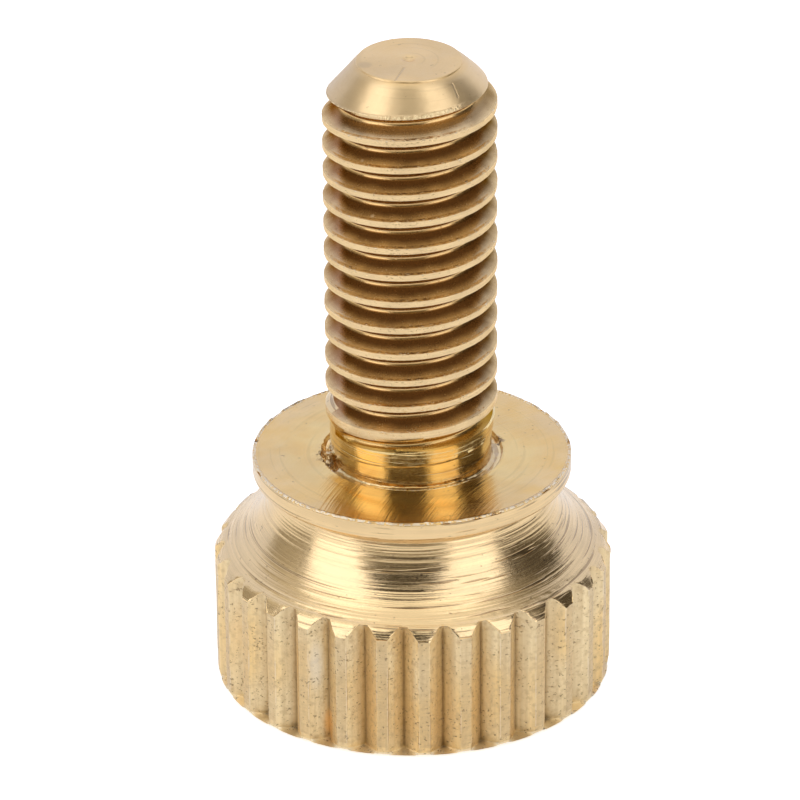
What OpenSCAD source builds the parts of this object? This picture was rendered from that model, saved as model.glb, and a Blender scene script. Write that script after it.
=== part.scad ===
// Brass thumb screw: a straight-knurled head, a turned waist, a thin flange and an M6 shank.
// It is turned from one bar, so it is one solid. It stands on the flat end of its head, with the
// origin at the centre of that end and the shank along +Z. All sizes are in millimetres.

/* [Knurled head] */
// Diameter over the knurl
head_d = 14; // [12.5:0.1:18]
// Height of the head, from its flat end to the shoulder
head_h = 4.97; // [3:0.01:8]
// Number of straight knurl grooves
groove_count = 30; // [20:1:36]
// Depth of each groove
groove_depth = 0.53; // [0.3:0.01:0.7]
// Share of the knurl pitch that a groove takes up at the surface
groove_share = 0.75; // [0.5:0.05:0.85]
// Angle of the first groove from the X axis, in degrees
groove_turn = 3; // [0:0.5:18]
// Height of the chamfer at the shoulder
shoulder_chamfer_h = 0.35; // [0.2:0.01:0.8]
// Width of that chamfer
shoulder_chamfer_w = 0.27; // [0.1:0.01:0.5]
// Height of the chamfer at the flat end
end_chamfer_h = 0.15; // [0.05:0.05:0.5]
// Width of that chamfer
end_chamfer_w = 0.3; // [0.05:0.05:0.5]

/* [Waist] */
// Diameter to which the cove narrows the waist
waist_d = 9.6; // [8:0.1:10.4]
// Height of the waist, from the shoulder to the flange's rim
waist_h = 2.88; // [2.6:0.01:5]
// Radius of the cove that runs from the shoulder up into the waist
cove_r = 3.4; // [2:0.05:5]
// Angle of the flange's underside above the horizontal, in degrees
underside_angle = 35; // [10:1:40]

/* [Flange] */
// Diameter of the flange that bears on the work
flange_d = 11.2; // [10.5:0.1:14]
// Thickness of the flange at its rim
rim_h = 0.6; // [0.3:0.05:1.5]
// Width of the shallow relief turned in the flange's face around the neck
relief_w = 0.4; // [0.2:0.05:0.8]
// Depth of that relief
relief_depth = 0.12; // [0.05:0.01:0.25]

/* [Shank] */
// Major diameter of the thread
thread_d = 6; // [5:0.1:7.5]
// Length from the flange's face to the tip
shank_h = 14.9; // [8:0.05:40]
// How far the unthreaded neck lies inside the thread's major radius
neck_step = 0.2; // [0.05:0.05:0.5]
// Length from the flange's face to where the thread has its full diameter
neck_h = 1.35; // [0.7:0.05:3]
// Diameter of the flat on the tip
tip_d = 3.7; // [2:0.1:4.8]
// Height of the tip's chamfer
tip_chamfer_h = 1.4; // [0.5:0.05:2.5]
// Diameter of the centre dimple in the tip
dimple_d = 0.5; // [0.3:0.05:1.2]
// Depth of the centre dimple
dimple_depth = 0.15; // [0.05:0.01:0.4]

/* [Hidden] */
$fn = 120;

head_r = head_d / 2;
root_r = head_r - groove_depth;
shoulder_r = head_r - shoulder_chamfer_w;
waist_r = waist_d / 2;
// Radius of the cove's foot: the edge of the shoulder, or on a wider head the place where the cove
// has nearly levelled out, which leaves a flat ring outside it
cove_foot_r = min(shoulder_r, waist_r + 0.9 * cove_r);
// Height over which the cove comes in from its foot to the waist
cove_h = sqrt(cove_r ^ 2 - (waist_r + cove_r - cove_foot_r) ^ 2);
flange_r = flange_d / 2;
thread_r = thread_d / 2;
neck_r = thread_r - neck_step;
relief_r = neck_r + relief_w;
rim_z = head_h + waist_h;
flange_z = rim_z + rim_h;
thread_z = flange_z + neck_h;
tip_z = flange_z + shank_h;
underside_h = (flange_r - waist_r) * tan(underside_angle);
// Overlap that carries a cutter past the face it cuts
overlap = 0.5;

// The V groove cutter on the +X side: its flanks run from the root through the edges of the lands
module groove_outline() {
    half_angle = 180 / groove_count * groove_share;
    flank = [head_r * cos(half_angle) - root_r, head_r * sin(half_angle)];
    reach = 1.6;
    polygon([
        [root_r, 0],
        [root_r + reach * flank.x, reach * flank.y],
        [root_r + reach * flank.x, -reach * flank.y],
    ]);
}

// Cross-section of the head through its knurl
module knurl_outline() {
    difference() {
        circle(head_r);
        for (i = [0 : groove_count - 1])
            rotate(groove_turn + 360 / groove_count * i) groove_outline();
    }
}

// Half-section of the head without its grooves: chamfers at the flat end and at the shoulder
module head_profile() {
    polygon([
        [0, 0],
        [head_r - end_chamfer_w, 0],
        [head_r, end_chamfer_h],
        [head_r, head_h - shoulder_chamfer_h],
        [shoulder_r, head_h],
        [0, head_h],
    ]);
}

// Half-section of the cove that narrows the shoulder up into the waist
module cove_profile() {
    difference() {
        translate([0, head_h - overlap]) square([cove_foot_r, min(cove_h, waist_h) + overlap]);
        translate([waist_r + cove_r, head_h + cove_h]) circle(cove_r);
    }
}

// Half-section of the waist: its straight wall, if the cove leaves one, and the flange's underside
module waist_profile() {
    polygon([
        [0, head_h - overlap],
        [waist_r, head_h - overlap],
        [waist_r, rim_z - underside_h],
        [flange_r, rim_z],
        [0, rim_z],
    ]);
}

// The head and the cove above it, with the grooves cut through both
module knurled_head() {
    intersection() {
        translate([0, 0, -overlap]) linear_extrude(rim_z + overlap) knurl_outline();
        rotate_extrude() {
            head_profile();
            cove_profile();
        }
    }
}

// Half-section of the flange with the relief around the neck
module flange_profile() {
    polygon([
        [0, rim_z],
        [flange_r, rim_z],
        [flange_r, flange_z],
        [relief_r, flange_z],
        [relief_r, flange_z - relief_depth],
        [0, flange_z - relief_depth],
    ]);
}

// Half-section of the neck, the threaded length at its major diameter, and the tip with its dimple
module shank_profile() {
    polygon([
        [0, rim_z],
        [neck_r, rim_z],
        [neck_r, thread_z - neck_step],
        [thread_r, thread_z],
        [thread_r, tip_z - tip_chamfer_h],
        [tip_d / 2, tip_z],
        [dimple_d / 2, tip_z],
        [0, tip_z - dimple_depth],
    ]);
}

// The waist, flange and shank as one turned body whose foot reaches down into the head
module turned_body() {
    rotate_extrude() {
        waist_profile();
        flange_profile();
        shank_profile();
    }
}

module thumb_screw() {
    color([0.80, 0.66, 0.40])
    union() {
        knurled_head();
        turned_body();
    }
}

thumb_screw();
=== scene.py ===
"""The looks of the brass thumb screw: its thread, tool marks, burrs and finish."""

import math
import random

import bpy
import numpy as np
from mathutils import Matrix, Vector, noise


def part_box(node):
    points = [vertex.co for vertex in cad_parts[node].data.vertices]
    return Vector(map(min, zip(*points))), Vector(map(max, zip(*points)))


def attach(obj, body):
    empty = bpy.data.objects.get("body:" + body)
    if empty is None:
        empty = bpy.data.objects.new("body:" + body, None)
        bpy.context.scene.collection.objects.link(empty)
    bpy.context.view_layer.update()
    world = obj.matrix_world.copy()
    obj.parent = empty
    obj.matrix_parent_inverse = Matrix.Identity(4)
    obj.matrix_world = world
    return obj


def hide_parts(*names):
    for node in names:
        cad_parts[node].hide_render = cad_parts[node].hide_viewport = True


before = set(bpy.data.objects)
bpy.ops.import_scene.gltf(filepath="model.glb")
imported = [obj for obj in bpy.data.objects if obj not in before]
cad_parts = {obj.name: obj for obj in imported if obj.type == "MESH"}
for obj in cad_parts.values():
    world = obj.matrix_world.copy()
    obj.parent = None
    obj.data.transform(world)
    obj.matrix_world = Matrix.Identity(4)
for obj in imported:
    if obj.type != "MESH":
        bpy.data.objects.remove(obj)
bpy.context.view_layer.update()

NODE = "thumb_screw"
MM = 0.001
TURN = 2 * math.pi

# Sizes in millimetres. The screw stands on its head, with its axis on Z.
head_r = 7.0
head_h = 4.97
end_chamfer_h = 0.15
end_chamfer_w = 0.3
end_r = head_r - end_chamfer_w
groove_count = 30
groove_depth = 0.53
groove_share = 0.75
groove_turn = math.radians(3)
root_r = head_r - groove_depth
# Height up to which burrs close the ends of the grooves
groove_end_z = 0.13
# Radius inside which metal folded over from the shoulder fills the tops of the grooves
fold_r = root_r + 0.16
shoulder_r = 6.73
shoulder_chamfer_h = 0.35

waist_r = 4.8
cove_r = 3.4
cove_centre_r = waist_r + cove_r
cove_centre_z = head_h + math.sqrt(cove_r**2 - (cove_centre_r - shoulder_r) ** 2)
underside_slope = math.tan(math.radians(35))
flange_r = 5.6
rim_z = 7.85
flange_z = 8.45

relief_r = 3.2
relief_depth = 0.12
neck_r = 2.8
neck_foot_z = 8.62
# The thread tool left a band at the top of the neck, above a step that climbs with the helix
neck_band_r = 2.86
neck_step_z = 9.215
thread_r = 3.0
thread_depth = 0.598
thread_root_r = thread_r - thread_depth
pitch = 1.0
# Height of one crest of the right-hand thread where it crosses the XZ plane on the +X side
crest_z = 9.805
# Half the width of the crest's flat, in turns of the pitch
crest_share = 0.08
# Where the last groove runs out, in turns from the front of the screw
groove_start = -0.19
# Height of that groove's lower edge at the front
thread_start_z = 9.83
tip_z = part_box(NODE)[1].z / MM
tip_r = 1.82
tip_chamfer_h = 1.4
# Height on the chamfer where the rows that follow the helix end
helix_end_z = 22.8
# The tip was faced a little out of square, and its centre mark lies off the axis
tip_slope = 0.02
dimple_y = 0.1
dimple_r = 0.24
dimple_depth = 0.11

# Angles seen from above, counter-clockwise from +X. The front of the screw faces -Y.
FRONT = math.radians(270)
LEFT = math.radians(180)
BACK = math.radians(90)
RIM_NICKS = (math.radians(301), math.radians(171))
RELIEF_NOTCH_ANGLE = math.radians(20)

# Columns round the screw
body_columns = 216
shank_columns = 168

KNURLED, TURNED, THREADED = range(3)


# ---------------------------------------------------------------- surface tools


def smooth(value, low, high):
    """A soft step from 0 at low to 1 at high, where low may be the larger."""
    t = np.clip((value - low) / (high - low), 0, 1)
    return t * t * (3 - 2 * t)


def near(gap, reach, core):
    """1 where a gap is within core, and falling softly to 0 at its reach."""
    return smooth(np.abs(gap), reach, core)


def wander(points, per_mm, seed):
    """Smooth noise, about -1 to 1, at points in millimetres.

    per_mm is how fine it is, as one number or as one for each axis.
    """
    places = np.asarray(points) * per_mm + 31.7 * seed
    flat = places.reshape(-1, 3).tolist()
    return np.array([noise.noise(place) for place in flat]).reshape(places.shape[:-1])


def even_angles(count):
    """Angles of evenly spaced columns round the axis."""
    return np.arange(count) / count * TURN


def round_gap(angle, centre):
    """How far an angle lies from centre, the shorter way round, with its sign."""
    return (angle - centre + math.pi) % TURN - math.pi


def polar(radius, angle, height):
    """Points at cylindrical places, as an array whose last axis is X, Y, Z."""
    radius, angle, height = np.broadcast_arrays(radius, angle, height)
    return np.stack([radius * np.cos(angle), radius * np.sin(angle), height], axis=-1)


def placed(name, data):
    """A new object in the scene."""
    made = bpy.data.objects.new(name, data)
    bpy.context.scene.collection.objects.link(made)
    return made


class Skin:
    """The closed surface of the screw, gathered ring by ring in millimetres.

    A ring is a pair: the numbers of its points, and their angles.
    """

    def __init__(self):
        self.points = []
        self.faces = []
        self.finishes = []

    def add(self, points):
        """Adds points and returns their numbers."""
        first = len(self.points)
        self.points.extend(points.tolist())
        return list(range(first, len(self.points)))

    def hub(self, centre, angles):
        """A ring of no width: one point, which a fan of faces meets."""
        return self.add(np.array([centre])) * len(angles), angles

    def zip(self, above, above_keys, below, below_keys, finish):
        """Joins two chains of points with faces. Points with the same key share an edge."""
        i = j = 0
        while i < len(above) - 1 or j < len(below) - 1:
            if j == len(below) - 1:
                step_i, step_j = True, False
            elif i == len(above) - 1:
                step_i, step_j = False, True
            else:
                gap = above_keys[i + 1] - below_keys[j + 1]
                step_i, step_j = gap <= 1e-6, gap >= -1e-6
            corners = [above[i], below[j]]
            if step_j:
                corners.append(below[j + 1])
            if step_i:
                corners.append(above[i + 1])
            i, j = i + step_i, j + step_j
            corners = list(dict.fromkeys(corners))
            if len(corners) > 2:
                self.faces.append(corners)
                self.finishes.append(finish)

    def bridge(self, lower, upper, finish):
        """Joins two closed rings, which may differ in their number of points."""
        loops = []
        for numbers, angles in (upper, lower):
            loops += [numbers + numbers[:1], list(angles) + [angles[0] + TURN]]
        self.zip(*loops, finish)

    def rings(self, start, rows, angles, finish):
        """Adds a ring for each row of points, joined to the one before. Returns the last."""
        last = start
        for row in rows:
            ring = (self.add(row), angles)
            self.bridge(last, ring, finish)
            last = ring
        return last

    def build(self, name, materials):
        """Makes the mesh object, in metres, with smooth faces and sharp edges."""
        mesh = bpy.data.meshes.new(name)
        mesh.from_pydata([[MM * v for v in p] for p in self.points], [], self.faces)
        for material in materials:
            mesh.materials.append(material)
        mesh.polygons.foreach_set("material_index", self.finishes)
        mesh.shade_smooth()
        mesh.set_sharp_from_angle(angle=math.radians(28))
        mesh.validate()
        return placed(name, mesh)


# ---------------------------------------------------------------- the head


def head_angles():
    """Columns round the knurl: close together at the roots and at the edges of the lands."""
    half_pitch = 180 / groove_count
    edge = half_pitch * groove_share
    # Degrees from a groove's root
    half = [0.25, 0.27 * edge, 0.5 * edge, 0.74 * edge, 0.93 * edge, edge, edge + 0.3]
    offsets = [-step for step in reversed(half)] + [0] + half + [half_pitch]
    angles = [
        groove_turn + TURN * groove / groove_count + math.radians(offset)
        for groove in range(groove_count)
        for offset in offsets
    ]
    return np.array(sorted(angle % TURN for angle in angles))


def knurl_radius(angles):
    """Radius of the knurl: flat lands, and V grooves whose flanks belly out a little."""
    half_groove = TURN / groove_count / 2 * groove_share
    from_root = np.abs(round_gap(angles * groove_count, groove_turn * groove_count))
    along = np.clip(from_root / groove_count / half_groove, 0, 1)
    belly = 0.02 * np.sin(math.pi * along)
    return head_r - groove_depth * (1 - along) + belly


def head_top(radius):
    """Height of the head's top: the shoulder's chamfer outside, and the cove's foot inside."""
    chamfer = head_h - (radius - shoulder_r) * shoulder_chamfer_h / (head_r - shoulder_r)
    inward = np.minimum(cove_centre_r - radius, cove_r)
    cove = cove_centre_z - np.sqrt(cove_r**2 - inward**2)
    return np.where(radius > shoulder_r, chamfer, cove)


def closed_end(height):
    """Radius of the end's chamfer, and of the burr above it that closes the grooves."""
    flare = end_chamfer_w / end_chamfer_h
    burr = end_r + groove_end_z * flare - (height - groove_end_z) * 8
    return np.minimum(end_r + height * flare, burr)


def knurl_wall(angles, outline, stop_z):
    """Rows of the knurled wall, from the flat end up to stop_z."""
    on_land = smooth(outline, shoulder_r - 0.1, head_r - 0.1)
    start_z = np.maximum((outline - end_r) * end_chamfer_h / end_chamfer_w, 0.02)
    ledge_z = np.maximum(start_z + 0.01, groove_end_z)
    low_z = ledge_z + 0.06
    levels = [(0.0, start_z), (0.0, ledge_z), (0.0, low_z)]
    for along in (0.02, *np.linspace(0.06, 0.93, 16), 0.975, 1.0):
        levels.append((along, low_z + (stop_z - low_z) * along))
    rows = []
    for along, height in levels:
        wall = polar(outline, angles, height)
        streaks = wander(wall, (5, 5, 0.25), 3) * 0.008 + wander(wall, (1.5, 1.5, 1.2), 4) * 0.01
        at_top = max(0.0, along - 0.96) / 0.04
        burr = 0.05 * at_top * np.maximum(wander(wall, 4, 5), 0) * on_land
        taper = 0.05 * smooth(height, 0.55, 0.15) * on_land
        fold = (np.maximum(outline, fold_r) - outline) * smooth(along, 0.96, 1.0)
        radius = outline + fold + streaks + burr - taper - 0.006
        rows.append(polar(np.maximum(radius, closed_end(height)), angles, height))
    return rows


def head(skin, angles):
    """The knurled wall, its top chamfer and the shoulder. Returns the bottom and top rings."""
    outline = knurl_radius(angles)
    folded = np.maximum(outline, fold_r)
    rim = polar(outline, angles, head_h)
    on_land = smooth(outline, shoulder_r - 0.1, head_r - 0.1)
    torn = wander(rim, (3.1, 3.1, 0.1), 1) * 0.04 + wander(rim, (9, 9, 0.1), 2) * 0.03
    uneven = wander(rim, (0.8, 0.8, 0), 8) * 0.09
    stop_z = head_top(folded) + (torn + uneven) * on_land - 0.01
    shoulder = []
    edge_r = np.minimum(shoulder_r, folded - 0.012)
    inner_r = root_r - 0.05
    chamfer = [(folded, edge_r, along) for along in (0.15, 0.4, 0.7, 1)]
    inside = [(edge_r, inner_r, along) for along in (0.3, 0.65, 1)]
    for start, stop, along in chamfer + inside:
        radius = start + (stop - start) * along
        top = polar(radius, angles, head_top(radius))
        dents = wander(top, (4, 4, 0.5), 6) * 0.01 + wander(top, (11, 11, 0.5), 7) * 0.004
        height = np.maximum(head_top(radius) + dents - 0.01, stop_z)
        shoulder.append(polar(radius, angles, height))
    bottom = (skin.add(polar(end_r, angles, 0.0)), angles)
    lower = skin.rings(bottom, knurl_wall(angles, outline, stop_z), angles, KNURLED)
    return bottom, skin.rings(lower, shoulder, angles, TURNED)


def flat_end(skin, rim, angles):
    """The head's flat end, faced in one cut, which the screw stands on."""
    rows = [polar(radius, angles, 0.0) for radius in (0.5, 1.5, 3.0, 4.5, 5.6, 6.3)]
    last = skin.rings(skin.hub([0.0, 0.0, 0.0], angles), rows, angles, TURNED)
    skin.bridge(last, rim, TURNED)


# ---------------------------------------------------------------- waist and flange


def cove_places(turns):
    """Radius and height of places on the cove, by the angle below its narrowest place."""
    radius = cove_centre_r - cove_r * np.cos(turns)
    return np.stack([radius, cove_centre_z - cove_r * np.sin(turns)], axis=-1)


def waist_profile():
    """Places and outward normals up the waist: the cove, then the flange's underside."""
    spacing = 0.037
    foot = math.acos((cove_centre_r - root_r + 0.07) / cove_r)
    turns = np.linspace(foot, 0, 400)
    radius, height = cove_places(turns).T
    last = turns[height < rim_z - (flange_r - radius) * underside_slope][-1]
    turns = np.linspace(foot, last, round((foot - last) * cove_r / spacing))
    cove = cove_places(turns)
    cove_normals = np.stack([np.cos(turns), np.sin(turns)], axis=-1)
    run, rise = np.array([flange_r, rim_z]) - cove[-1]
    length = math.hypot(run, rise)
    along = np.linspace(0, 1, round(length / spacing))[1:-1, None]
    underside = cove[-1] + along * (run, rise)
    underside_normals = np.ones_like(along) * (rise / length, -run / length)
    places = np.concatenate([cove, underside])
    return places, np.concatenate([cove_normals, underside_normals])


def turning_marks(angles, travel, seed):
    """Height of the marks left by a turning tool: slow waves, and sharp scores at uneven steps."""
    spots = np.zeros((len(travel), len(angles), 3))
    spots[..., 0] = travel[:, None]
    spots[..., 1] = 0.5 * np.cos(angles)
    spots[..., 2] = 0.5 * np.sin(angles)
    height = 0.004 * wander(spots, (5.5, 1.2, 1.2), seed)
    height += 0.003 * wander(spots, (13.0, 1.5, 1.5), seed + 1)
    chance = random.Random(seed)
    place = 0.1
    while place < travel[-1]:
        width = chance.uniform(0.038, 0.06)
        depth = chance.uniform(0.003, 0.013)
        fade = smooth(wander(spots[0], (1, 1.5, 1.5), seed + 10 * place), -0.7, 0.1)
        height -= depth * fade * np.maximum(0, 1 - np.abs(travel[:, None] - place) / width)
        place += chance.uniform(0.05, 0.15)
    return height


def waist(skin, below, angles):
    """The waist and the flange's underside, with real turning grooves."""
    places, normals = waist_profile()
    steps = np.hypot(*np.diff(places, axis=0).T)
    travel = np.concatenate([[0], np.cumsum(steps)])
    marks = turning_marks(angles, travel, 10) * (0.8 + 0.8 * smooth(places[:, 1:], 5.9, 6.9))
    radius = places[:, :1] + normals[:, :1] * marks
    height = places[:, 1:] + normals[:, 1:] * marks
    return skin.rings(below, polar(radius, angles, height), angles, TURNED)


def flange(skin, below, angles):
    """The flange's rim and its face, with the burr that the facing cut left round the edge."""
    rows = []
    for along in (0.0, 0.06, 0.25, 0.5, 0.75, 0.93):
        height = rim_z + (flange_z - rim_z) * along
        sway = wander(polar(flange_r, angles, height), (1.2, 1.2, 6), 20) * 0.004
        edge = 0.02 if along == 0 else 0.0
        rows.append(polar(flange_r - edge + sway, angles, height))
    lip = polar(flange_r, angles, flange_z)
    crumbs = np.maximum(wander(lip, 2.3, 21) + 0.4, 0) * 0.035
    crumbs += np.maximum(wander(lip, 7, 22), 0) * 0.06
    nicks = 0.06 * smooth(wander(lip, 1.7, 23), 0.42, 0.6)
    for place in RIM_NICKS:
        nicks += 0.08 * near(round_gap(angles, place), 0.03, 0.01)
    # Over the edge: how far in and how far up each row lies
    burr = (
        (0.005 + nicks, -0.03 - nicks),
        (0.02 - crumbs * 0.3 + nicks, crumbs * 0.5 - nicks),
        (0.055 + nicks, 0.012 + crumbs - nicks),
        (0.1 + nicks * 0.5, -0.006),
    )
    rows += [polar(flange_r - inward, angles, flange_z + up) for inward, up in burr]
    for radius in np.linspace(flange_r - 0.14, relief_r + 0.1, 16):
        waves = wander(polar(radius, angles, flange_z), (0.8, 0.8, 1), 24) * 0.002
        rows.append(polar(radius, angles, flange_z - 0.004 + waves))
    return skin.rings(below, rows, angles, TURNED)


def relief(skin, below, angles):
    """The relief round the neck: torn on the left, notched on the right, closed in front."""
    front = near(round_gap(angles, FRONT + 0.16), 0.85, 0.25)
    outer = relief_r - (relief_r - neck_band_r - 0.05) * front
    torn = near(round_gap(angles, LEFT + 0.05), 0.45, 0.2)
    notch = near(round_gap(angles, RELIEF_NOTCH_ANGLE), 0.12, 0.04)
    depth = relief_depth * (1 - 0.75 * front) + 0.26 * torn + 0.1 * notch
    rows = []
    for along in (-0.12, 0.0, 0.1, 0.2, 0.32, 0.44, 0.56, 0.68, 0.8, 0.9, 1.0):
        radius = outer - (outer - neck_r) * along
        place = polar(radius, angles, flange_z)
        crumbs = wander(place, 5, 30) + 0.7 * wander(place, 12, 31)
        if along <= 0:
            sunk = -np.maximum(crumbs + 0.2, 0) * 0.025
        else:
            wall = smooth(along, 0, 0.2) * (1 - 0.5 * smooth(along, 0.85, 1.0))
            sunk = depth * wall + crumbs * (0.02 + 0.13 * torn + 0.03 * notch + 0.02 * front)
        sway = wander(place, 6, 32) * (0.012 + 0.06 * torn + 0.03 * notch)
        rows.append(polar(radius + sway, angles, flange_z - sunk))
    return skin.rings(below, rows, angles, TURNED)


# ---------------------------------------------------------------- the shank


def thread_profile(phase):
    """Radius of the full thread at a phase of one pitch, where 0 is the crest's middle."""
    away = np.abs((phase + 0.5) % 1 - 0.5)
    flank = thread_r - (away - crest_share) * pitch / math.tan(math.radians(30))
    crest = thread_r - 0.02 * (away / crest_share) ** 2
    floor = thread_root_r + 0.62 * np.maximum(0, 0.5 - away) ** 2 / 0.14
    rounding = 0.012 * np.maximum(1 - np.abs(flank - crest) / 0.05, 0) ** 2
    return np.maximum(np.minimum(flank, crest) - rounding, np.minimum(floor, flank + 0.2))


def run_out(turns):
    """How deep the thread is cut, as a share, by turns from the front of its last groove."""
    known = (groove_start, -0.13, 0.0, 0.17, 0.5, 1.0)
    return np.interp(turns, known, (0.0, 0.42, 0.55, 0.7, 0.88, 1.0))


def chamfer_radius(angles, height):
    """Radius of the tip's chamfer, which bellies out a little, most on the right."""
    along = (tip_z - height) / tip_chamfer_h
    side = np.cos(angles)
    belly = np.sin(math.pi * np.clip(along, 0, 1)) * (0.01 + 0.08 * side**2 + 0.09 * side)
    return tip_r + (thread_r - tip_r) * along + belly


def neck_radius(angles, height):
    """Radius of the neck: its step, the torn metal above that, and crumbs at the foot."""
    from_front = round_gap(angles, FRONT) / TURN
    above_step = height - neck_step_z - from_front * pitch
    sunk = smooth(np.abs(round_gap(angles, BACK)), 0.3, 1.2)
    sunk = sunk * smooth(above_step, 0.015, -0.015)
    neck = neck_band_r - (neck_band_r - neck_r) * sunk
    torn = near(from_front - 0.13, 0.075, 0.045) * near(above_step - 0.1, 0.14, 0.06)
    neck += torn * np.maximum(wander(polar(neck, angles, height), (8, 8, 14), 43), 0) * 0.05
    foot = near(round_gap(angles, LEFT + 0.2), 0.5, 0.2) * smooth(height, 8.95, 8.7)
    neck += foot * np.maximum(wander(polar(neck, angles, height), 5, 44) + 0.3, 0) * 0.12
    return neck


def shank_radius(angles, height):
    """Radius of the neck, the thread and the tip's chamfer."""
    phase = (height - crest_z) / pitch - angles / TURN
    turns = np.floor(phase) + 1 + (angles - FRONT) / TURN
    cut = thread_profile(phase) + thread_depth * (1 - run_out(turns))
    cut = np.where(turns <= groove_start, thread_r, cut)
    neck = neck_radius(angles, height)
    blank = neck + (thread_r - neck) * smooth(height, 9.8, 10.2)
    return np.minimum(np.minimum(cut, blank), chamfer_radius(angles, height))


def is_threaded(place):
    """Whether a place on the shank was cut by the thread tool, and not turned."""
    x, y, height = place
    angle = math.atan2(y, x)
    from_front = round_gap(angle, FRONT) / TURN
    start_z = thread_start_z + from_front * pitch + (pitch if from_front < groove_start else 0.0)
    by_chamfer = height > tip_z - tip_chamfer_h - 0.1
    on_chamfer = by_chamfer and math.hypot(x, y) > chamfer_radius(angle, height) - 0.03
    return height > start_z and not on_chamfer


def thread_rows():
    """Phases of the rows of points in one pitch: closest where the profile bends."""
    half = [0.045, 0.075, 0.105, 0.17, 0.26, 0.36, 0.41, 0.455]
    return [0.0] + half + [0.5] + [1 - phase for phase in reversed(half)]


def shank_heights(rows):
    """Heights of the points in each column of the shank, and keys that number their rows."""
    columns, keys = [], []
    for column in range(shank_columns):
        share = column / shank_columns
        heights, numbers = [], []
        for row in range(-3 * len(rows), 16 * len(rows)):
            height = crest_z + pitch * (row // len(rows) + rows[row % len(rows)] + share)
            if neck_foot_z + 0.02 < height < helix_end_z - 0.02:
                heights.append(height)
                numbers.append(float(row))
        columns.append(np.array([neck_foot_z, *heights, helix_end_z]))
        keys.append([numbers[0] - 0.6, *numbers, numbers[-1] + 0.6])
    return columns, keys


def shank_points(columns):
    """The shank's points, column after column, with lumps and with burrs on the crests."""
    places = []
    for angle, heights in zip(even_angles(shank_columns), columns):
        places.append(polar(shank_radius(angle, heights), angle, heights))
    places = np.concatenate(places)
    radius = np.hypot(places[:, 0], places[:, 1])
    crest = smooth(radius, 2.8, 2.95)
    lumps = wander(places, 1.1, 40) * 0.006 + wander(places, 4.5, 41) * 0.004 * (1 + crest)
    burrs = np.maximum(wander(places, 6.0, 42) - 0.15, 0) * 0.04 * crest
    burrs *= smooth(places[:, 2], 10.8, 11.4)
    scale = (radius + lumps - burrs * 0.6) / radius
    places[:, :2] *= scale[:, None]
    return places


def shank(skin, below):
    """The neck and the thread, on rows of points that climb with the helix, up to the chamfer."""
    rows = thread_rows()
    columns, keys = shank_heights(rows)
    ends = np.cumsum([len(heights) for heights in columns])
    chains = [skin.add(chain) for chain in np.split(shank_points(columns), ends[:-1])]
    for column in range(shank_columns):
        after = (column + 1) % shank_columns
        shift = len(rows) if after == 0 else 0
        after_keys = [key - shift for key in keys[after]]
        first_face = len(skin.faces)
        skin.zip(chains[column], keys[column], chains[after], after_keys, THREADED)
        for face in range(first_face, len(skin.faces)):
            middle = np.mean([skin.points[corner] for corner in skin.faces[face]], axis=0)
            if not is_threaded(middle):
                skin.finishes[face] = TURNED
    angles = even_angles(shank_columns)
    skin.bridge(below, ([chain[0] for chain in chains], angles), TURNED)
    return [chain[-1] for chain in chains], angles


def tip(skin, below):
    """The top of the chamfer, the flat tip and its centre dimple."""
    angles = below[1]
    rows = [polar(chamfer_radius(angles, z), angles, z) for z in (22.9, 23.0, 23.1, 23.2)]
    edge = polar(tip_r, angles, tip_z)
    worn = 0.03 + 0.03 * np.maximum(wander(edge, 1.5, 50), 0) + 0.02 * wander(edge, 5, 51)
    worn += 0.09 * near(round_gap(angles, LEFT - 0.1), 0.5, 0.1)
    # Each row's radius, its drop below the tip's plane and how far it moves with the dimple
    flat = [(tip_r + 0.008, 0.06, 0.0)]
    for along, drop in ((0.1, 0.02), (0.5, 0.006), (1.0, 0.0)):
        flat.append((tip_r - worn * along, drop, 0.0))
    in_dimple = (dimple_r, dimple_r * 0.7, dimple_r * 0.35)
    for radius in (1.7, 1.5, 1.25, 0.95, 0.65, 0.45, 0.34, 0.27, *in_dimple):
        drop = dimple_depth * smooth(radius, dimple_r + 0.1, 0.0)
        flat.append((radius, drop, dimple_y * smooth(radius, 1.4, 0.5)))
    for radius, drop, shift in flat:
        row = polar(radius, angles, tip_z - drop)
        row[:, 1] += shift
        row[:, 2] += tip_slope * row[:, 1]
        rows.append(row)
    top = skin.rings(below, rows, angles, TURNED)
    bottom_z = tip_z - dimple_depth + tip_slope * dimple_y
    skin.bridge(top, skin.hub([0.0, dimple_y, bottom_z], angles), TURNED)


def screw_mesh(materials):
    """The whole screw as one closed surface."""
    skin = Skin()
    angles = even_angles(body_columns)
    bottom, shoulder = head(skin, head_angles())
    flat_end(skin, bottom, angles)
    below = waist(skin, shoulder, angles)
    below = flange(skin, below, angles)
    below = relief(skin, below, angles)
    below = shank(skin, below)
    tip(skin, below)
    return skin.build("turned_thumb_screw", materials)


# ---------------------------------------------------------------- materials

BRASS = (0.86, 0.622, 0.318, 1)
KNURL_BRASS = (0.885, 0.632, 0.288, 1)
PALE_BRASS = (0.885, 0.708, 0.41, 1)
WARM_BRASS = (0.84, 0.54, 0.22, 1)
DULL_BRASS = (0.56, 0.40, 0.21, 1)
GOLDEN_BRASS = (0.87, 0.665, 0.265, 1)
GILT_BRASS = (0.83, 0.535, 0.185, 1)
GREY_BRASS = (0.72, 0.57, 0.335, 1)
FRESH_BRASS = (0.96, 0.82, 0.56, 1)
WHITENED = (0.82, 0.76, 0.62, 1)
BURR = (0.88, 0.74, 0.52, 1)
GOLDEN_BURR = (1.0, 0.79, 0.44, 1)
FLECK = (0.8, 0.74, 0.66, 1)
# A dark brown used both for real tarnish and for painted shade in hollows
TARNISH_AND_SHADE = (0.23, 0.145, 0.075, 1)
BROWN = (0.15, 0.08, 0.033, 1)
DARK_BROWN = (0.12, 0.06, 0.02, 1)
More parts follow.
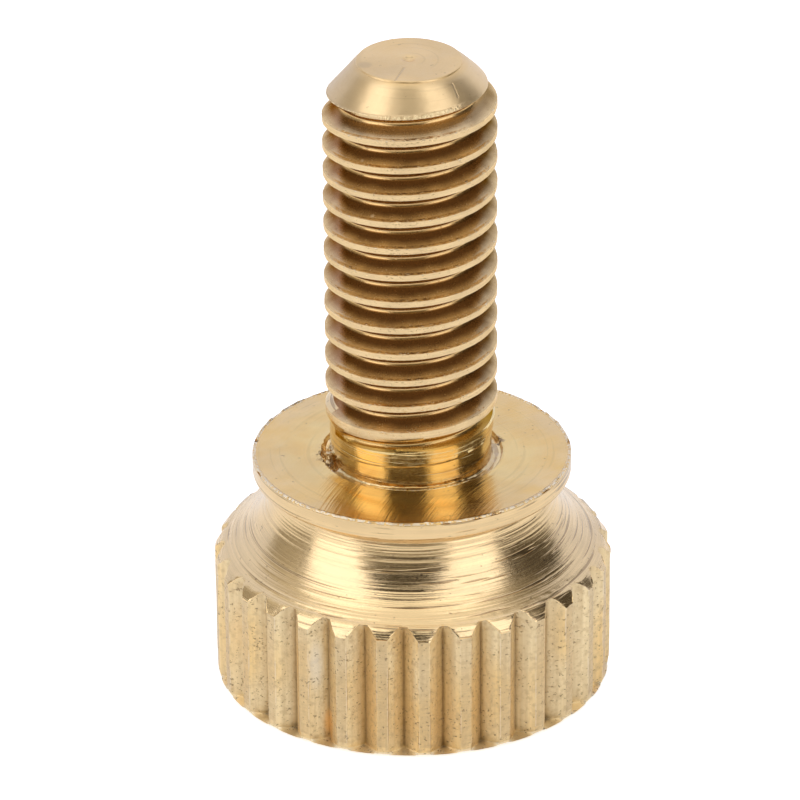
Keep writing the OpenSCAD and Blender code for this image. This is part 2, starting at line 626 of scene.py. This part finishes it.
RUST_BROWN = (0.48, 0.27, 0.06, 1)
COPPER = (0.58, 0.34, 0.21, 1)
# A near-black brown used for real dirt and for painted shadow
GRIME_AND_SHADOW = (0.07, 0.045, 0.025, 1)
# Tints of the shine on the thread's crests, in its valleys and in its last groove; the valley tints
# darken it partly as painted shade
CREST_SHINE = (1, 0.88, 0.68, 1)
VALLEY_SHADED_SHINE = (0.32, 0.17, 0.07, 1)
LAST_SHINE = (0.5, 0.32, 0.07, 1)

# Single marks: a place in millimetres, a reach, and how far it is drawn out along the axis
KNURL_STAINS = (
    # The last number is how strong the stain is
    ((-2.88, -5.94, 0.8), 0.34, 2.6, 0.9),
    ((-6.1, -3.1, 2.9), 0.7, 2.4, 0.35),
    ((5.75, -3.95, 2.2), 0.6, 2.6, 0.3),
)
KNURL_WHITENING = ((-3.33, -6.04, 3.2), 0.45, 3.0)
RELIEF_CRATER = ((-2.88, -0.2, 8.45), 0.85)
RELIEF_NOTCH = ((2.98, 0.75, 8.4), 0.42)
RIM_DIRT = ((-5.5, 0.85, 8.42), 0.16)
TIP_STAIN = ((-0.95, -0.6, tip_z), 1.25)
TIP_SMEAR = ((-1.5, -0.42, tip_z), 0.4, 0.4)
THREAD_FLECKS = (((-1.3, -2.54, 18.74), 0.13), ((-1.63, -2.34, 20.7), 0.1))
# Scratches: both ends in millimetres, and a width
TIP_SCRATCH = ((-0.18, -0.65, tip_z), (-0.52, -1.8, tip_z), 0.055)
CHAMFER_SCRATCH = ((1.46, -1.52, 23.12), (1.62, -1.8, 22.75), 0.05)
DIMPLE_SHADE = ((-0.08, 0.25, tip_z), (0.08, 0.25, tip_z), 0.08)


class Paint:
    """Builds one brass material. Numbers are set on sockets, and other values are linked."""

    def __init__(self, name):
        self.material = bpy.data.materials.new(name)
        self.material.use_nodes = True
        self.nodes = self.material.node_tree.nodes
        self.links = self.material.node_tree.links
        self.shader = self.nodes["Principled BSDF"]
        self.shader.inputs["Metallic"].default_value = 1
        here = self.nodes.new("ShaderNodeTexCoord").outputs["Object"]
        self.place = self.vector("MULTIPLY", here, (1 / MM, 1 / MM, 1 / MM))
        split = self.nodes.new("ShaderNodeSeparateXYZ")
        self.put(split.inputs[0], self.place)
        self.x, self.y, self.z = split.outputs
        self.radius = self.away(0, 0)

    def put(self, socket, value):
        """Links a socket to a node's output, or sets a number or colour on it."""
        if isinstance(value, bpy.types.NodeSocket):
            self.links.new(value, socket)
        else:
            socket.default_value = value

    def calc(self, operation, first, second=0.0):
        node = self.nodes.new("ShaderNodeMath")
        node.operation = operation
        self.put(node.inputs[0], first)
        self.put(node.inputs[1], second)
        return node.outputs[0]

    def plus(self, first, second):
        return self.calc("ADD", first, second)

    def minus(self, first, second):
        return self.calc("SUBTRACT", first, second)

    def times(self, first, *others):
        for other in others:
            first = self.calc("MULTIPLY", first, other)
        return first

    def most(self, first, *others):
        for other in others:
            first = self.calc("MAXIMUM", first, other)
        return first

    def vector(self, operation, first, second=(0, 0, 0)):
        node = self.nodes.new("ShaderNodeVectorMath")
        node.operation = operation
        self.put(node.inputs[0], first)
        self.put(node.inputs[1], second)
        return node.outputs["Value" if operation in ("LENGTH", "DOT_PRODUCT") else "Vector"]

    def join(self, x, y, z):
        node = self.nodes.new("ShaderNodeCombineXYZ")
        for socket, value in zip(node.inputs, (x, y, z)):
            self.put(socket, value)
        return node.outputs[0]

    def away(self, x, y):
        """Distance in plan from a place, in millimetres."""
        flat = self.join(self.minus(self.x, x), self.minus(self.y, y), 0.0)
        return self.vector("LENGTH", flat)

    def turns(self, per_turn=1):
        """Angle round the axis from +X, counted so that a full turn is per_turn."""
        return self.calc("DIVIDE", self.calc("ARCTAN2", self.y, self.x), TURN / per_turn)

    def map_range(self, value, lows_and_highs):
        """A node that maps a value from one range to another, as low, high, to low, to high."""
        node = self.nodes.new("ShaderNodeMapRange")
        self.put(node.inputs["Value"], value)
        for name, number in zip(("From Min", "From Max", "To Min", "To Max"), lows_and_highs):
            node.inputs[name].default_value = number
        return node

    def step(self, value, low, high):
        """A soft step from 0 at low to 1 at high, where low may be the larger."""
        ends = (low, high, 0.0, 1.0) if low <= high else (high, low, 1.0, 0.0)
        node = self.map_range(value, ends)
        node.interpolation_type = "SMOOTHSTEP"
        return node.outputs["Result"]

    def between(self, value, low, high, to_low, to_high):
        """A straight slope from to_low to to_high."""
        return self.map_range(value, (low, high, to_low, to_high)).outputs["Result"]

    def band(self, value, start, full, fading, end):
        """1 from full to fading, and falling softly to 0 at start and end."""
        return self.times(self.step(value, start, full), self.step(value, end, fading))

    def near(self, value, centre, reach, core):
        """1 within core of a centre, and falling softly to 0 at its reach."""
        return self.step(self.calc("ABSOLUTE", self.minus(value, centre)), reach, core)

    def cloud(self, per_mm, detail=2.0, seed=0.0, place=None):
        """Soft noise, about 0.3 to 0.7. per_mm is how fine it is along X, Y and Z."""
        spot = self.vector("MULTIPLY", place or self.place, per_mm)
        node = self.nodes.new("ShaderNodeTexNoise")
        self.put(node.inputs["Vector"], self.vector("ADD", spot, (seed, seed, seed)))
        node.inputs["Scale"].default_value = 1
        node.inputs["Detail"].default_value = detail
        return node.outputs["Fac"]

    def lines(self, per_mm, slow, detail=2.0, seed=0.0):
        """Noise drawn out round the axis, like the marks of a turning tool."""
        around = self.plus(self.x, self.times(self.y, 0.6))
        place = self.join(self.radius, self.z, around)
        return self.cloud((per_mm, per_mm, slow), detail, seed, place)

    def mark(self, place, reach, tall=1.0):
        """1 at a place, fading to 0 at its reach. tall draws it out along the axis."""
        offset = self.vector("SUBTRACT", self.place, place)
        offset = self.vector("MULTIPLY", offset, (1, 1, 1 / tall))
        return self.step(self.vector("LENGTH", offset), reach, reach * 0.3)

    def scratch(self, start, end, width):
        """1 along a short line between two places, fading to 0 at its width."""
        run = Vector(end) - Vector(start)
        offset = self.vector("SUBTRACT", self.place, start)
        share = self.vector("DOT_PRODUCT", offset, tuple(run / run.length_squared))
        share = self.between(share, 0, 1, 0, 1)
        nearest = self.vector("MULTIPLY", self.join(share, share, share), tuple(run))
        away = self.vector("LENGTH", self.vector("SUBTRACT", offset, nearest))
        return self.step(away, width, width * 0.4)

    def blend(self, share, first, second):
        node = self.nodes.new("ShaderNodeMix")
        node.data_type = "RGBA"
        self.put(node.inputs[0], share)
        self.put(node.inputs[6], first)
        self.put(node.inputs[7], second)
        return node.outputs[2]

    def coats(self, colour, *layers):
        """Lays coats over a colour, each given as its share from 0 to 1 and its own colour."""
        for share, coat in layers:
            colour = self.blend(share, colour, coat)
        return colour

    def brush(self, amount):
        """Draws reflections out along the axis, as fine marks that run round it do."""
        tangent = self.nodes.new("ShaderNodeTangent")
        tangent.direction_type = "RADIAL"
        tangent.axis = "Z"
        self.put(self.shader.inputs["Tangent"], tangent.outputs[0])
        self.put(self.shader.inputs["Anisotropic"], amount)
        self.put(self.shader.inputs["Anisotropic Rotation"], 0.25)

    def finish(self, colour, roughness, relief):
        """Links the look to the shader. relief lists values with their depths in millimetres."""
        self.put(self.shader.inputs["Base Color"], colour)
        self.put(self.shader.inputs["Roughness"], roughness)
        height = 0.0
        for value, depth in relief:
            height = self.plus(height, self.times(value, depth))
        bump = self.nodes.new("ShaderNodeBump")
        bump.inputs["Strength"].default_value = 1
        bump.inputs["Distance"].default_value = MM
        self.put(bump.inputs["Height"], height)
        self.put(self.shader.inputs["Normal"], bump.outputs[0])
        return self.material


def knurl_lands(paint):
    """Masks of the lands between the grooves, and of the burrs along their edges."""
    turn = paint.minus(paint.turns(groove_count), groove_turn * groove_count / TURN)
    from_land = paint.calc("ABSOLUTE", paint.minus(paint.calc("FRACT", turn), 0.5))
    half = (1 - groove_share) / 2
    above_end = paint.step(paint.z, end_chamfer_h + 0.25, end_chamfer_h + 0.3)
    land = paint.times(paint.step(from_land, half, half - 0.012), above_end)
    edge = paint.band(from_land, half - 0.012, half, half + 0.012, half + 0.03)
    broken = paint.step(paint.cloud((2.5, 2.5, 1.1), 2, 29), 0.42, 0.62)
    return land, paint.times(edge, above_end, broken)


def knurled_brass():
    """The cut knurl: drawn-out streaks, short flecks and a few stains, with painted shade in the
    roots, on the lands and at the grooves' lower ends.
    """
    paint = Paint("knurled_brass")
    streaks = paint.cloud((6, 6, 0.2), 3)
    grain = paint.cloud((11, 11, 11), 3, 5)
    mottle = paint.cloud((5, 5, 5), 4, 27)
    pale = paint.step(paint.cloud((0.45, 0.45, 0.3), 1, 2), 0.35, 0.65)
    land, edge = knurl_lands(paint)
    ridges = paint.times(paint.cloud((1.6, 1.6, 16), 3, 31), land)
    flecks = paint.step(paint.cloud((6.5, 6.5, 12), 3, 9), 0.635, 0.69)
    specks = paint.step(paint.cloud((9, 9, 9), 2, 3), 0.655, 0.71)
    patchy = paint.step(paint.cloud((0.9, 0.9, 0.7), 2, 41), 0.28, 0.5)
    spots = paint.times(paint.most(flecks, specks), patchy)
    open_groove = paint.step(paint.z, groove_end_z + 0.07, groove_end_z + 0.2)
    # Painted shade: the roots of the grooves are darkened, standing in for the shade deep in them.
    root = paint.times(paint.step(paint.radius, 6.57, 6.47), open_groove)
    hollow = paint.times(paint.step(paint.radius, 6.92, 6.6), open_groove)
    closed_end = paint.step(paint.z, groove_end_z + 0.12, groove_end_z + 0.06)
    # Grime and painted shadow: the grooves' lower ends next to the floor are darkened, partly as
    # the screw's contact shadow.
    grime_and_contact_shadow = paint.times(
        paint.step(paint.z, 0.5, 0.15),
        paint.step(paint.radius, 6.68, 6.5),
        paint.step(paint.cloud((2.2, 2.2, 2.2), 2, 21), 0.46, 0.58),
    )
    stains = [paint.times(paint.mark(*mark), strength) for *mark, strength in KNURL_STAINS]
    colour = paint.coats(
        KNURL_BRASS,
        (pale, PALE_BRASS),
        (paint.times(hollow, 0.6), GREY_BRASS),
        (paint.between(streaks, 0.35, 0.65, 0.0, 0.4), DULL_BRASS),
        (paint.between(mottle, 0.48, 0.68, 0.0, 0.55), DULL_BRASS),
        # Painted shade: the lands are dulled all round, standing in for their dimmer reflection
        # beside the flanks.
        (paint.times(land, 0.35), DULL_BRASS),
        (paint.between(ridges, 0.35, 0.65, 0.0, 0.3), DULL_BRASS),
        (paint.times(edge, 0.5), BURR),
        (paint.times(root, 0.4), TARNISH_AND_SHADE),
        (paint.times(closed_end, 0.75), FRESH_BRASS),
        (paint.most(*stains), WARM_BRASS),
        (paint.times(paint.mark(*KNURL_WHITENING), 0.5), WHITENED),
        (paint.times(spots, 0.65), TARNISH_AND_SHADE),
        (paint.times(grime_and_contact_shadow, 0.5), GRIME_AND_SHADOW),
    )
    roughness = paint.between(grain, 0.3, 0.7, 0.36, 0.5)
    relief = (
        (streaks, 0.01),
        (grain, 0.012),
        (mottle, 0.01),
        (ridges, 0.01),
        (edge, 0.012),
        (spots, -0.012),
    )
    return paint.finish(colour, roughness, relief)


def turned_burrs(paint, on_face, on_tip):
    """Crumbs of burr on the flange's rim, at the neck's foot and along the tip's lower edge."""
    rim = paint.times(paint.step(paint.radius, 5.42, 5.5), paint.step(paint.z, 8.39, 8.43))
    foot = paint.near(paint.radius, 3.03, 0.06, 0.03)
    foot = paint.times(foot, on_face, paint.step(paint.y, -1.0, -2.0))
    to_crest = paint.calc("FRACT", paint.minus(paint.plus(paint.turns(), crest_z), paint.z))
    lip = paint.times(
        paint.band(to_crest, 0.1, 0.16, 0.45, 0.5),
        paint.step(paint.z, 22.8, 22.7),
        paint.step(paint.x, 2.1, 1.5),
    )
    lip = paint.times(paint.most(lip, paint.step(paint.radius, 2.86, 2.92)), on_tip)
    return paint.times(paint.most(rim, lip, foot), paint.cloud((9, 9, 9), 2, 33))


def turned_brass():
    """Turned faces: scores round the axis, facing arcs on the flange, and marks on the tip."""
    paint = Paint("turned_brass")
    on_face = paint.band(paint.z, 8.38, 8.43, 8.55, 8.6)
    on_tip = paint.step(paint.z, 21.5, 21.8)
    on_disc = paint.step(paint.z, 23.15, 23.25)
    by_neck = paint.band(paint.z, 8.3, 8.4, 10.2, 10.6)
    by_neck = paint.times(by_neck, paint.step(paint.radius, 5.2, 4.0))
    # Painted shade: the foot of the neck is darkened where it meets the flange.
    neck_foot_shade = paint.times(paint.step(paint.z, 9.15, 8.85), paint.step(paint.radius, 3.1, 3.0))
    scored = paint.minus(1.0, paint.times(paint.most(on_tip, on_face), 0.85))
    deeply_scored = paint.times(scored, paint.between(by_neck, 0, 1, 1.0, 0.35))
    wide = paint.lines(3.2, 0.15, 2)
    fine = paint.lines(14, 0.15, 3, 7)
    scores = paint.step(paint.lines(8, 0.35, 1, 13), 0.60, 0.68)
    arcs = paint.cloud((9, 1, 0.25), 3, 3, paint.join(paint.away(10, -8), 0.0, paint.y))
    grain = paint.cloud((9, 9, 9), 2, 4)
    specks = paint.step(paint.cloud((5, 5, 7), 2, 17), 0.69, 0.75)
    smudge = paint.step(paint.cloud((0.6, 0.6, 0.9), 2, 11), 0.42, 0.66)
    gilt = paint.between(paint.cloud((0.9, 0.9, 0.9), 2, 23), 0.35, 0.65, 0.45, 1.0)
    gilt = paint.times(gilt, paint.most(on_face, paint.times(on_disc, 0.4)))
    crumbs = paint.step(paint.cloud((5, 5, 5), 2, 8), 0.47, 0.56)
    crumbs = paint.times(crumbs, paint.step(paint.radius, 3.45, 3.3))
    torn = paint.times(paint.mark(*RELIEF_CRATER), crumbs)
    notch = paint.times(paint.mark(*RELIEF_NOTCH), crumbs)
    dulled = paint.times(paint.step(paint.x, -1.4, -2.1), on_tip)
    scratches = paint.most(paint.scratch(*TIP_SCRATCH), paint.scratch(*CHAMFER_SCRATCH))
    stained = paint.times(paint.mark(*TIP_STAIN), 0.35)
    worn = paint.most(scratches, paint.mark(*TIP_SMEAR), stained)
    burr = turned_burrs(paint, on_face, on_tip)
    colour = paint.coats(
        BRASS,
        # Painted reflection: the neck and the flange's face round it are tinted golden, standing in
        # for the warm light they bounce to each other.
        (paint.times(by_neck, 0.7), GOLDEN_BRASS),
        (gilt, GILT_BRASS),
        (paint.times(smudge, 0.2), DULL_BRASS),
        (paint.times(paint.between(fine, 0.35, 0.65, 0.0, 0.3), scored), DULL_BRASS),
        (paint.times(scores, scored, 0.55), TARNISH_AND_SHADE),
        (paint.times(specks, paint.between(on_tip, 0, 1, 0.6, 0.25)), TARNISH_AND_SHADE),
        (paint.times(paint.most(torn, notch), 0.9), DARK_BROWN),
        (paint.times(paint.mark(*RIM_DIRT), 0.85), GRIME_AND_SHADOW),
        (paint.times(dulled, 0.55), DULL_BRASS),
        (paint.times(worn, 0.6), DULL_BRASS),
        (paint.times(paint.scratch(*DIMPLE_SHADE), 0.45), TARNISH_AND_SHADE),
        (paint.times(neck_foot_shade, 0.5), DULL_BRASS),
        (paint.step(burr, 0.42, 0.52), paint.blend(on_tip, BURR, GOLDEN_BURR)),
    )
    roughness = paint.between(grain, 0.3, 0.7, 0.17, 0.25)
    for share, change in ((torn, 0.3), (on_tip, 0.2), (by_neck, -0.03), (burr, 0.25)):
        roughness = paint.plus(roughness, paint.times(share, change))
    relief = (
        (paint.times(wide, deeply_scored), 0.012),
        (paint.times(fine, deeply_scored), 0.013),
        (paint.times(scores, deeply_scored), -0.009),
        (grain, 0.0012),
        (paint.times(arcs, on_face), 0.012),
        (scratches, -0.02),
        (burr, 0.05),
    )
    paint.brush(paint.times(on_tip, 0.8, paint.step(paint.radius, 1.75, 1.9)))
    return paint.finish(colour, roughness, relief)


def threaded_brass():
    """The cut thread: bright crests over valleys darkened with tarnish and painted shade, with
    lines that follow the helix.
    """
    paint = Paint("threaded_brass")
    phase = paint.calc("FRACT", paint.minus(paint.z, paint.turns()))
    along = paint.join(paint.radius, phase, paint.plus(paint.x, paint.times(paint.z, 3.7)))
    fine = paint.cloud((12, 12, 0.4), 3, 1, along)
    grain = paint.cloud((9, 9, 9), 2, 6)
    patches = paint.cloud((1.3, 1.3, 1.6), 2, 14)
    specks = paint.step(paint.cloud((5, 5, 6), 2, 19), 0.68, 0.74)
    above_crest = paint.calc("FRACT", paint.minus(phase, crest_z % 1))
    from_crest = paint.minus(0.5, paint.calc("ABSOLUTE", paint.minus(above_crest, 0.5)))
    uneven = paint.between(patches, 0.3, 0.7, -0.025, 0.025)
    # Tarnish and painted shade: the valleys and the last groove are darkened, partly for the shade
    # between the flanks.
    depth = paint.times(
        paint.step(paint.plus(from_crest, uneven), 0.05, 0.31),
        paint.between(above_crest, 0.39, 0.44, 1.0, 0.3),
        paint.between(paint.z, 21.6, 22.4, 1.0, 0.4),
    )
    last = paint.times(paint.step(paint.z, 10.6, 10.2), paint.step(paint.radius, 2.95, 2.85))
    depth = paint.most(depth, paint.times(last, 0.7))
    crumbs = paint.times(
        paint.cloud((6, 6, 9), 2, 35),
        paint.step(from_crest, 0.17, 0.1),
        paint.step(paint.z, 10.8, 11.4),
    )
    dots = paint.step(paint.cloud((7, 7, 10), 1, 37), 0.64, 0.69)
    dots = paint.times(dots, paint.near(above_crest, 0.1, 0.06, 0.03))
    flecks = paint.most(*(paint.mark(*fleck) for fleck in THREAD_FLECKS))
    copper = paint.times(paint.step(paint.x, -2.2, -2.5), paint.step(above_crest, 0.5, 0.44))
    # The valley colour: brown tarnish, also carrying painted shade
    valley_tarnish_and_shade = paint.blend(paint.times(copper, 0.6), BROWN, COPPER)
    colour = paint.coats(
        BRASS,
        (paint.between(patches, 0.35, 0.65, 0.0, 0.3), DULL_BRASS),
        (paint.between(fine, 0.35, 0.65, 0.0, 0.3), DULL_BRASS),
        (paint.step(paint.radius, 2.6, 2.45), WARM_BRASS),
        (depth, paint.blend(last, valley_tarnish_and_shade, RUST_BROWN)),
        (paint.times(dots, 0.7), BURR),
        (paint.times(specks, 0.15), TARNISH_AND_SHADE),
        (paint.times(flecks, 0.8), FLECK),
    )
    # The dark shine in the valleys is partly painted shade.
    shine = paint.blend(depth, CREST_SHINE, paint.blend(last, VALLEY_SHADED_SHINE, LAST_SHINE))
    paint.put(paint.shader.inputs["Specular Tint"], shine)
    roughness = paint.between(grain, 0.3, 0.7, 0.2, 0.28)
    relief = ((fine, 0.006), (crumbs, 0.035), (dots, 0.02), (specks, -0.004))
    return paint.finish(colour, roughness, relief)


# ---------------------------------------------------------------- studio

# Lamps, cards and the floor are sized and placed in metres, and turned in degrees.


def direction(azimuth, elevation):
    """A unit vector. Azimuth 0 is towards the camera, and it turns to the right."""
    a, e = math.radians(azimuth), math.radians(elevation)
    return Vector((math.sin(a) * math.cos(e), -math.cos(a) * math.cos(e), math.sin(e)))


def softbox(name, azimuth, elevation, width, height, brightness, distance=0.5):
    """An area lamp that faces the screw. brightness is its radiance, where 1 is white."""
    lamp = bpy.data.lights.new(name, "AREA")
    lamp.shape = "RECTANGLE"
    lamp.size = width
    lamp.size_y = height
    lamp.energy = brightness * math.pi * width * height
    lamp.color = (1, 1.04, 1.2)
    made = placed(name, lamp)
    made.location = direction(azimuth, elevation) * distance
    made.rotation_euler = direction(azimuth, elevation).to_track_quat("Z", "Y").to_euler()
    made.visible_camera = False


def glow(name, stops, tint):
    """A material that gives off light by elevation. stops pair an elevation and a brightness."""
    material = bpy.data.materials.new(name)
    material.use_nodes = True
    nodes, links = material.node_tree.nodes, material.node_tree.links
    nodes.remove(nodes["Principled BSDF"])
    place = nodes.new("ShaderNodeTexCoord")
    unit = nodes.new("ShaderNodeVectorMath")
    unit.operation = "NORMALIZE"
    links.new(place.outputs["Object"], unit.inputs[0])
    split = nodes.new("ShaderNodeSeparateXYZ")
    links.new(unit.outputs["Vector"], split.inputs[0])
    ramp = nodes.new("ShaderNodeValToRGB")
    links.new(split.outputs["Z"], ramp.inputs[0])
    elements = ramp.color_ramp.elements
    while len(elements) < len(stops):
        elements.new(0.5)
    for element, (elevation, brightness) in zip(elements, stops):
        element.position = math.sin(math.radians(elevation))
        green, blue = brightness**1.05 * tint[1], brightness**1.14 * tint[2]
        element.color = (brightness, green, blue, 1)
    emission = nodes.new("ShaderNodeEmission")
    links.new(ramp.outputs["Color"], emission.inputs["Color"])
    links.new(emission.outputs[0], nodes["Material Output"].inputs["Surface"])
    return material


def flag(name, azimuths, stops, tint=(1, 1, 1)):
    """A curved card that hides the room's light on one side, and is as bright as its stops say."""
    count = 12
    distance = 0.8
    points, faces = [], []
    for row in range(count + 1):
        elevation = stops[0][0] + (stops[-1][0] - stops[0][0]) * row / count
        for column in range(count + 1):
            azimuth = azimuths[0] + (azimuths[1] - azimuths[0]) * column / count
            points.append(direction(azimuth, elevation) * distance)
    for row in range(count):
        for column in range(count):
            corner = row * (count + 1) + column
            faces.append([corner, corner + 1, corner + count + 2, corner + count + 1])
    mesh = bpy.data.meshes.new(name)
    mesh.from_pydata(points, [], faces)
    mesh.materials.append(glow(name + "_paint", stops, tint))
    made = placed(name, mesh)
    made.visible_camera = False


def by_camera_ray(tree, socket, lighting, seen):
    """Gives a socket one value for the light it casts, and another where the camera sees it."""
    path = tree.nodes.new("ShaderNodeLightPath")
    level = tree.nodes.new("ShaderNodeMapRange")
    level.inputs["To Min"].default_value = lighting
    level.inputs["To Max"].default_value = seen
    tree.links.new(path.outputs["Is Camera Ray"], level.inputs["Value"])
    tree.links.new(level.outputs["Result"], socket)


def floor():
    """A pale floor that is white to the camera and in the brass, and keeps the screw's shadow."""
    half = 3.0
    corners = [(-half, -half, 0), (half, -half, 0), (half, half, 0), (-half, half, 0)]
    mesh = bpy.data.meshes.new("floor")
    mesh.from_pydata(corners, [], [(0, 1, 2, 3)])
    material = bpy.data.materials.new("floor_paint")
    material.use_nodes = True
    shader = material.node_tree.nodes["Principled BSDF"]
    shader.inputs["Base Color"].default_value = (0.8, 0.8, 0.8, 1)
    shader.inputs["Roughness"].default_value = 1
    shader.inputs["Specular IOR Level"].default_value = 0
    shader.inputs["Emission Color"].default_value = (1, 1, 1, 1)
    by_camera_ray(material.node_tree, shader.inputs["Emission Strength"], 0.3, 0.6)
    mesh.materials.append(material)
    placed("floor", mesh)


def room():
    """A pale room: white to the camera, and a little dimmer as light."""
    world = bpy.data.worlds.new("room")
    world.use_nodes = True
    bpy.context.scene.world = world
    background = world.node_tree.nodes["Background"]
    background.inputs["Color"].default_value = (1, 1, 1, 1)
    by_camera_ray(world.node_tree, background.inputs["Strength"], 0.85, 1)


# How bright each card is, as pairs of an elevation in degrees and a brightness
FRONT_CARD = (
    (0.5, 0.34),
    (10, 0.36),
    (18, 0.3),
    (24, 0.16),
    (32, 0.07),
    (42, 0.05),
    (51, 0.06),
    (54.5, 0.16),
    (56.5, 0.7),
    (58, 1.25),
    (62, 1.3),
)
LEFT_CARD = ((0.5, 0.33), (20, 0.42), (30, 0.54), (42, 0.62), (58, 0.72), (72, 0.88))
RIGHT_CARD = (
    (0.5, 0.2),
    (8, 0.13),
    (22, 0.06),
    (32, 0.09),
    (43, 0.19),
    (57, 0.4),
    (66, 0.6),
    (76, 0.88),
)
BACK_CARD = ((0.5, 0.83), (20, 0.85), (76, 0.88))


def studio():
    """Softboxes at the left, at the right and above, cards all round, and a pale room and floor."""
    floor()
    room()
    softbox("left_softbox", -61, 32, 0.38, 0.72, 0.65)
    softbox("left_softbox_core", -61, 30, 0.36, 0.44, 1.0, 0.49)
    softbox("right_softbox", 47.5, 32, 0.37, 0.72, 0.62)
    softbox("right_softbox_core", 47.5, 31, 0.35, 0.42, 0.85, 0.49)
    softbox("top_softbox", 0, 90, 0.5, 0.5, 0.2)
    flag("front_flag", (-88, 68), FRONT_CARD)
    flag("left_flag", (-120, -88), LEFT_CARD)
    flag("right_flag", (68, 122), RIGHT_CARD)
    flag("back_card", (122, 240), BACK_CARD, (1, 1.07, 1.34))


def camera():
    """Looks down at the screw from in front, a little turned about its own axis."""
    elevation = math.radians(26.7)
    roll = -0.0075
    ahead = Vector((0, math.cos(elevation), -math.sin(elevation)))
    down = Vector((0, -math.sin(elevation), -math.cos(elevation)))
    right = Vector((1, 0, 0))
    across = right * math.cos(roll) - down * math.sin(roll)
    up = -(right * math.sin(roll) + down * math.cos(roll))
    data = bpy.data.cameras.new("camera")
    data.sensor_width = 36
    data.lens = 259.6
    data.clip_start = 0.01
    data.clip_end = 20
    made = placed("camera", data)
    made.rotation_euler = Matrix((across, up, -ahead)).transposed().to_euler()
    made.location = Vector((-0.4, -180.0, 100.955)) * MM
    bpy.context.scene.camera = made


camera()
studio()
bpy.context.scene.view_settings.view_transform = "Standard"
screw = screw_mesh([knurled_brass(), turned_brass(), threaded_brass()])
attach(screw, "root")
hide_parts(NODE)
